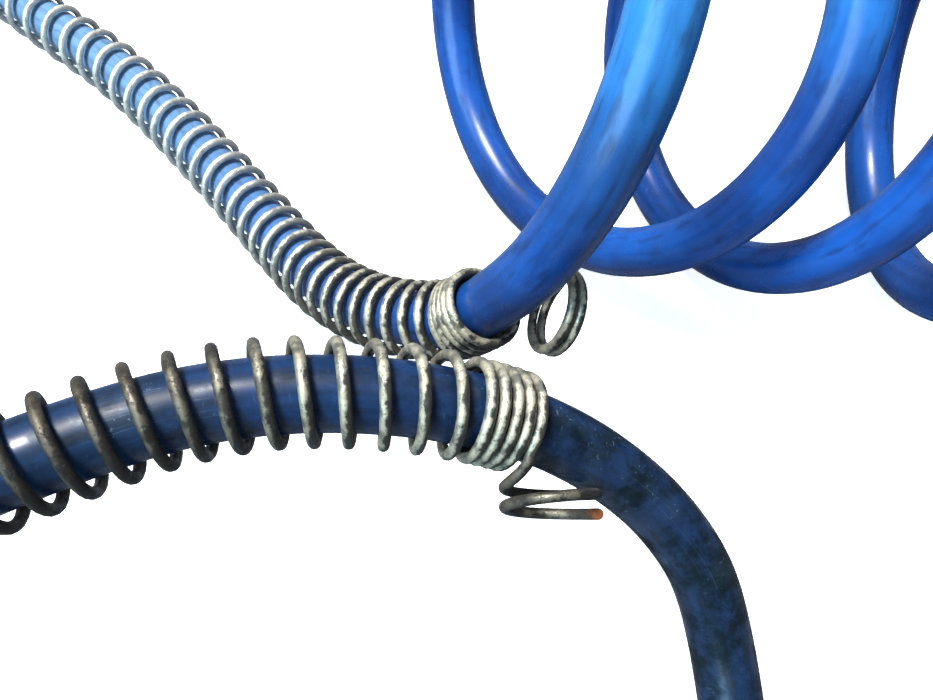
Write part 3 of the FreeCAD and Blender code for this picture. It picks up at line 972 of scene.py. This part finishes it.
def spring_guard_b(length: float) -> SpringGuard:
    """Lead B's guard, dark with grease, whose eye lies across the hose.

    Args:
        length: the hose's length.

    Returns:
        The guard.
    """
    return SpringGuard(
        name="spring_guard_wire_b",
        node="spring_guard_b",
        body="free_end",
        mouth=length - 0.3111,
        back=length - FIRST_TURN,
        inward=-1.0,
        winding=Winding.RIGHT,
        pitches=((0, 2.2), (4.35, 2.2), (4.55, 5.7), (8, 6.0), (9, 5.9), (60, 5.88)),
        hang=((0, 0.0), (5, 0.0), (10, -0.4), (17, 0.5), (50, 0.6)),
        start_angle=0.185,
        link=((10.7, -66.7, 58.8), (9.2, -68.2, 56.6), (7.3, -69.1, 54.4)),
        eye_middle=mm(14.2, -71.3, 51.3),
        eye_axis=Vector((0.03, -0.971, -0.237)),
        eye_from=Vector((-1.0, 0.0, 0.0)),
        eye_turns=1.47,
        eye_rise=3.3 * MM,
        eye_age=0.8,
        ages=((0, 0.0), (5, 0.1), (8, 0.3), (12, 0.8), (16, 1.0), (60, 1.0)),
    )


# ---- the fittings ---------------------------------------------------------


def dress_nodes(slots: dict[str, Finish], nodes: dict[str, Finish]) -> None:
    """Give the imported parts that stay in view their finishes.

    Args:
        slots: the finish of each material slot.
        nodes: the finishes of the nodes that don't take their slot's.
    """
    for row in frame["record"]["subparts"]:
        piece = bpy.data.objects.get(row["node"])
        finish = nodes.get(row["node"], slots.get(row["material_slot"]))
        if piece is not None and finish is not None:
            piece.data.materials.clear()
            piece.data.materials.append(finish.material())


# ---- the studio -----------------------------------------------------------


@dataclass(frozen=True)
class Lamp:
    """A soft rectangular lamp: where it hangs and faces, its size, its watts and its colour."""

    name: str
    place: tuple
    aim: tuple
    size: tuple
    power: float
    tint: tuple

    def hang(self) -> None:
        """Put the lamp in the scene."""
        light = bpy.data.lights.new(self.name, "AREA")
        light.shape = "RECTANGLE"
        light.size = self.size[0]
        light.size_y = self.size[1]
        light.energy = self.power
        light.color = self.tint
        lamp = bpy.data.objects.new(self.name, light)
        lamp.location = self.place
        towards = Vector(self.aim) - Vector(self.place)
        lamp.rotation_euler = towards.to_track_quat("-Z", "Y").to_euler()
        bpy.context.scene.collection.objects.link(lamp)


@dataclass
class Studio:
    """A white bench under soft lamps, and the camera."""

    focal_length: float = 28.55
    sensor_width: float = 36.0
    camera_place: tuple = (0.0, -0.112, 0.1728)
    camera_tilt: float = 30.0        # from straight down, in degrees
    bench_size: float = 4.0
    room_tint: tuple = (0.96, 0.98, 1.0, 1.0)
    room_glow: float = 0.18          # what the room throws on things
    room_white: float = 0.77         # and how much brighter it looks itself

    LAMPS = (
        Lamp("ceiling", (-0.30, 0.10, 1.15), (0.0, 0.0, 0.0), (0.28, 0.28), 26.0, (1.0, 0.99, 0.96)),
        Lamp("window", (-0.75, -0.75, 0.85), (0.0, 0.0, 0.05), (1.20, 0.80), 17.0, (0.50, 0.84, 1.0)),
        Lamp("wall", (0.9, 0.9, 0.9), (0.0, 0.0, 0.05), (0.9, 0.6), 2.0, (0.95, 0.98, 1.0)),
    )

    def camera(self) -> None:
        """Put the camera over the front of the bench, looking down and away."""
        lens = bpy.data.cameras.new("camera")
        lens.lens = self.focal_length
        lens.sensor_width = self.sensor_width
        lens.clip_start = 5.0 * MM
        camera = bpy.data.objects.new("camera", lens)
        camera.location = self.camera_place
        camera.rotation_euler = (math.radians(self.camera_tilt), 0.0, 0.0)
        bpy.context.scene.collection.objects.link(camera)
        bpy.context.scene.camera = camera

    def bench(self) -> None:
        """Lay a large flat bench top under everything."""
        shape = bmesh.new()
        bmesh.ops.create_grid(shape, x_segments=1, y_segments=1, size=self.bench_size)
        mesh = bpy.data.meshes.new("bench")
        shape.to_mesh(mesh)
        shape.free()
        shown("bench", mesh, BENCH)

    def light(self) -> None:
        """Hang the lamps and set the room's glow, which is dimmer than the white it is seen as."""
        bpy.context.scene.view_settings.view_transform = "Standard"
        for lamp in self.LAMPS:
            lamp.hang()
        world = bpy.data.worlds.new("room")
        world.use_nodes = True
        graph = Graph(world.node_tree)
        seen = graph.add("LightPath").outputs["Is Camera Ray"]
        strength = graph.maths("MULTIPLY_ADD", seen, self.room_white, self.room_glow)
        glow = graph.add("Background", Color=self.room_tint, Strength=strength)
        graph.add("OutputWorld", Surface=glow.outputs[0])
        bpy.context.scene.world = world


def main() -> None:
    """Build the camera, the hose and everything on it, then the bench and its light."""
    logging.basicConfig(level=logging.INFO, format="%(message)s")
    studio = Studio()
    studio.camera()
    hose = CoiledHose()
    tube = hose.build()
    wires = [guard.build(hose) for guard in (spring_guard_a(), spring_guard_b(hose.along[-1]))]
    dress_nodes(SLOT_FINISHES, NODE_FINISHES)
    studio.bench()
    studio.light()


if __name__ == "__main__":
    main()
